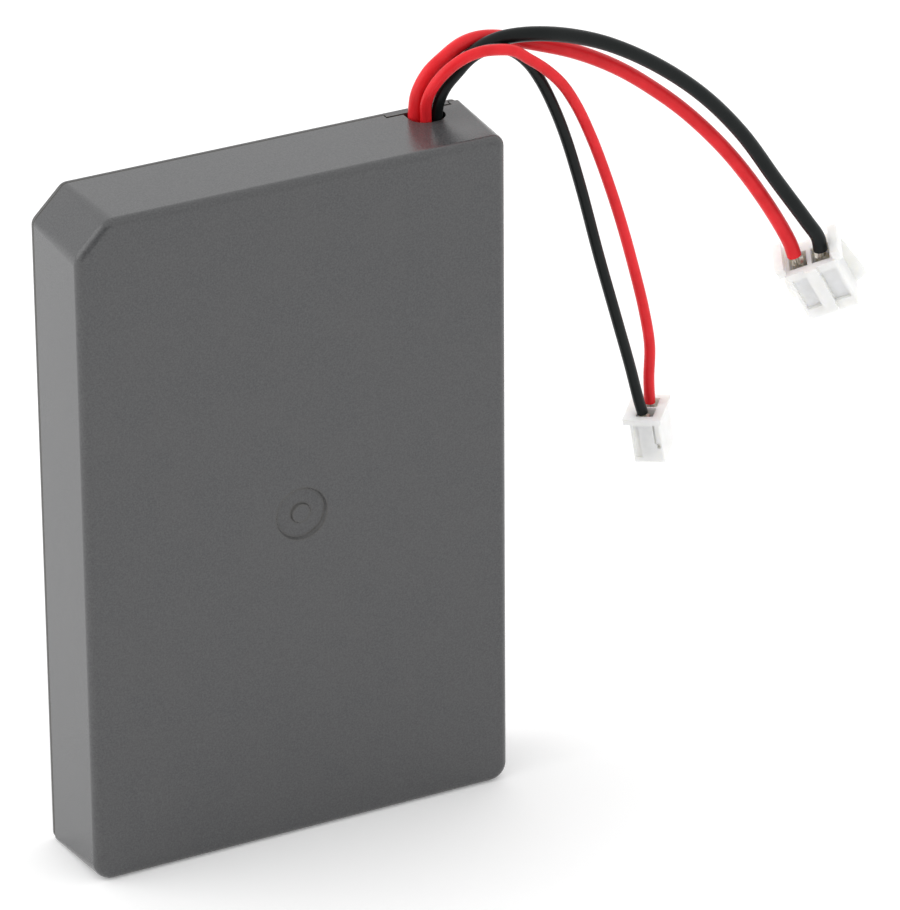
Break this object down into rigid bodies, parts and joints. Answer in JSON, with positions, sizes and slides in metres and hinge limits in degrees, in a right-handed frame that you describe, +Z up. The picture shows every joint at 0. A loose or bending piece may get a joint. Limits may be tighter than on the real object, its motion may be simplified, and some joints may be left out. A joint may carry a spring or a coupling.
{
  "type": "battery pack",
  "caption": "Flat grey plastic-cased rechargeable battery pack with one cut corner and two short red-and-black wire leads ending in white plugs.",
  "frame": {"origin": "centre of the case's bottom short edge: middle of its width and depth, on the base plane", "axes": "+X across the case's width towards the side with the wire outlet, +Y from the large front face to the rear cover, +Z up the case's height to the edge the wires leave"},
  "size_m": [0.0755, 0.0097, 0.0649],
  "materials": {
    "case_plastic": "moulded grey plastic with a fine satin grain",
    "cell_laminate": "satin laminated foil",
    "nickel_strip": "plain rolled strip",
    "adhesive_tape": "off-white double-sided tape",
    "black_foam": "soft closed-cell foam",
    "amber_tape": "clear amber film",
    "circuit_board": "green solder mask",
    "moulded_package": "dark moulded resin",
    "ceramic_chip": "tan ceramic body",
    "red_insulation": "smooth red wire insulation",
    "black_insulation": "smooth black wire insulation",
    "solder": "bright solder fillet",
    "white_nylon": "natural white nylon",
    "tinned_contact": "tinned bronze"
  },
  "bodies": {
    "root": {"front_shell": "case_plastic", "rear_cover": "case_plastic", "cell_pouch": "cell_laminate", "cell_tab_positive": "nickel_strip", "cell_tab_negative": "nickel_strip", "cell_adhesive_pad": "adhesive_tape", "rear_foam_pad": "black_foam", "terrace_tape": "amber_tape", "protection_board": "circuit_board", "weld_plate_positive": "nickel_strip", "weld_plate_negative": "nickel_strip", "protection_ic": "moulded_package", "mosfet_pair": "moulded_package", "filter_capacitor": "ceramic_chip", "filter_resistor": "moulded_package", "sense_resistor": "moulded_package", "board_foam_pad": "black_foam", "red_wire_a": "red_insulation", "red_solder_joint_a": "solder", "black_wire_a": "black_insulation", "black_solder_joint_a": "solder", "red_wire_b": "red_insulation", "red_solder_joint_b": "solder", "black_wire_b": "black_insulation", "black_solder_joint_b": "solder", "connector_housing_a": "white_nylon", "connector_housing_b": "white_nylon", "red_contact_a": "tinned_contact", "red_contact_b": "tinned_contact", "black_contact_a": "tinned_contact", "black_contact_b": "tinned_contact"}
  },
  "joints": []
}
